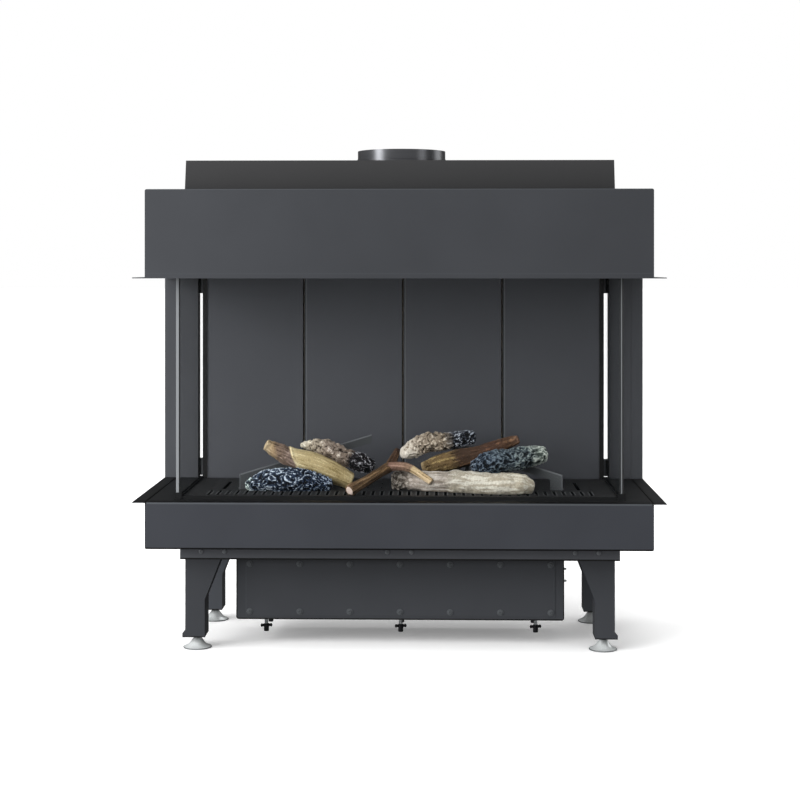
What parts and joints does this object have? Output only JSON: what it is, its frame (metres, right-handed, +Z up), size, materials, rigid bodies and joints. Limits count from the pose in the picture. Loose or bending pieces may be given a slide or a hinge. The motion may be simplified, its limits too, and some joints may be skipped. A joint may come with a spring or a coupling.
{
  "type": "gas fireplace",
  "caption": "Three-sided gas fireplace insert: wide glazed firebox with ceramic logs, steel casings with flanges, top flue collar, control box and levelling legs.",
  "frame": {"origin": "on the floor, in the middle of the casing's plan, feet screwed fully in", "axes": "+X to the viewer's right along the front, +Y from the front glass to the back, +Z up along the flue"},
  "size_m": [1.134, 0.45, 1.0965],
  "materials": {
    "casing_steel": "satin",
    "chamber_steel": "matte",
    "liner_steel": "satin",
    "burner_steel": "matte",
    "zinc_steel": "zinc plated",
    "flue_steel": "satin",
    "glass": "clear",
    "rope": "woven",
    "insulation": "pressed fibre",
    "log_ceramic": "rough painted ceramic fibre",
    "valve_aluminium": "cast",
    "plastic": "matte",
    "brass": "turned",
    "aluminium_pipe": "drawn"
  },
  "bodies": {
    "root": {"ash_log": "log_ceramic", "back_panel_1": "liner_steel", "back_panel_2": "liner_steel", "back_panel_3": "liner_steel", "back_panel_4": "liner_steel", "bark_log": "log_ceramic", "base_tray": "casing_steel", "branch_log": "log_ceramic", "burner_box": "burner_steel", "burner_grate": "burner_steel", "column_ties": "casing_steel", "control_box": "casing_steel", "control_box_cover": "casing_steel", "corner_clips": "chamber_steel", "cover_screws": "casing_steel", "ember_log": "log_ceramic", "firebox_floor": "burner_steel", "floor_log": "log_ceramic", "flue_collar": "flue_steel", "flue_spigot": "flue_steel", "foot_nuts": "zinc_steel", "front_left_leg": "casing_steel", "front_rail": "casing_steel", "front_right_leg": "casing_steel", "gas_inlet": "brass", "gas_pipes": "aluminium_pipe", "gas_valve": "valve_aluminium", "glass_channels": "chamber_steel", "glass_rope_seal": "rope", "hood": "casing_steel", "insulation_board": "insulation", "left_column": "casing_steel", "left_glass": "glass", "left_log_bracket": "chamber_steel", "pilot_burner": "burner_steel", "rail_bolts": "casing_steel", "rear_casing": "chamber_steel", "rear_left_leg": "casing_steel", "rear_rail": "casing_steel", "rear_right_leg": "casing_steel", "receiver": "plastic", "red_log": "log_ceramic", "right_column": "casing_steel", "right_glass": "glass", "right_log_bracket": "chamber_steel", "side_rails": "casing_steel", "side_studs": "zinc_steel", "tan_log": "log_ceramic", "top_box": "chamber_steel", "white_log": "log_ceramic", "wing_nuts": "chamber_steel", "wing_studs": "zinc_steel"},
    "front_left_foot": {"front_left_foot": "zinc_steel"},
    "front_right_foot": {"front_right_foot": "zinc_steel"},
    "rear_left_foot": {"rear_left_foot": "zinc_steel"},
    "rear_right_foot": {"rear_right_foot": "zinc_steel"},
    "front_glass": {"front_glass": "glass"},
    "valve_knob": {"valve_knob": "plastic"},
    "left_relief_lid": {"left_relief_lid": "chamber_steel"},
    "right_relief_lid": {"right_relief_lid": "chamber_steel"}
  },
  "joints": [
    {"name": "front_left_foot_height", "type": "slide", "parent": "root", "child": "front_left_foot", "axis": [0, 0, -1], "range_m": [0, 0.03]},
    {"name": "front_right_foot_height", "type": "slide", "parent": "root", "child": "front_right_foot", "axis": [0, 0, -1], "range_m": [0, 0.03]},
    {"name": "rear_left_foot_height", "type": "slide", "parent": "root", "child": "rear_left_foot", "axis": [0, 0, -1], "range_m": [0, 0.03]},
    {"name": "rear_right_foot_height", "type": "slide", "parent": "root", "child": "rear_right_foot", "axis": [0, 0, -1], "range_m": [0, 0.03]},
    {"name": "front_glass_lift", "type": "slide", "parent": "root", "child": "front_glass", "axis": [0, 0, 1], "range_m": [0, 0.01]},
    {"name": "valve_knob_turn", "type": "hinge", "parent": "root", "child": "valve_knob", "pos_m": [-0.14, -0.071, 0.1063], "axis": [0, -1, 0], "range_deg": [0, 180]},
    {"name": "left_relief_lid_lift", "type": "slide", "parent": "root", "child": "left_relief_lid", "axis": [0, 0, 1], "range_m": [0, 0.008]},
    {"name": "right_relief_lid_lift", "type": "slide", "parent": "root", "child": "right_relief_lid", "axis": [0, 0, 1], "range_m": [0, 0.008]}
  ]
}
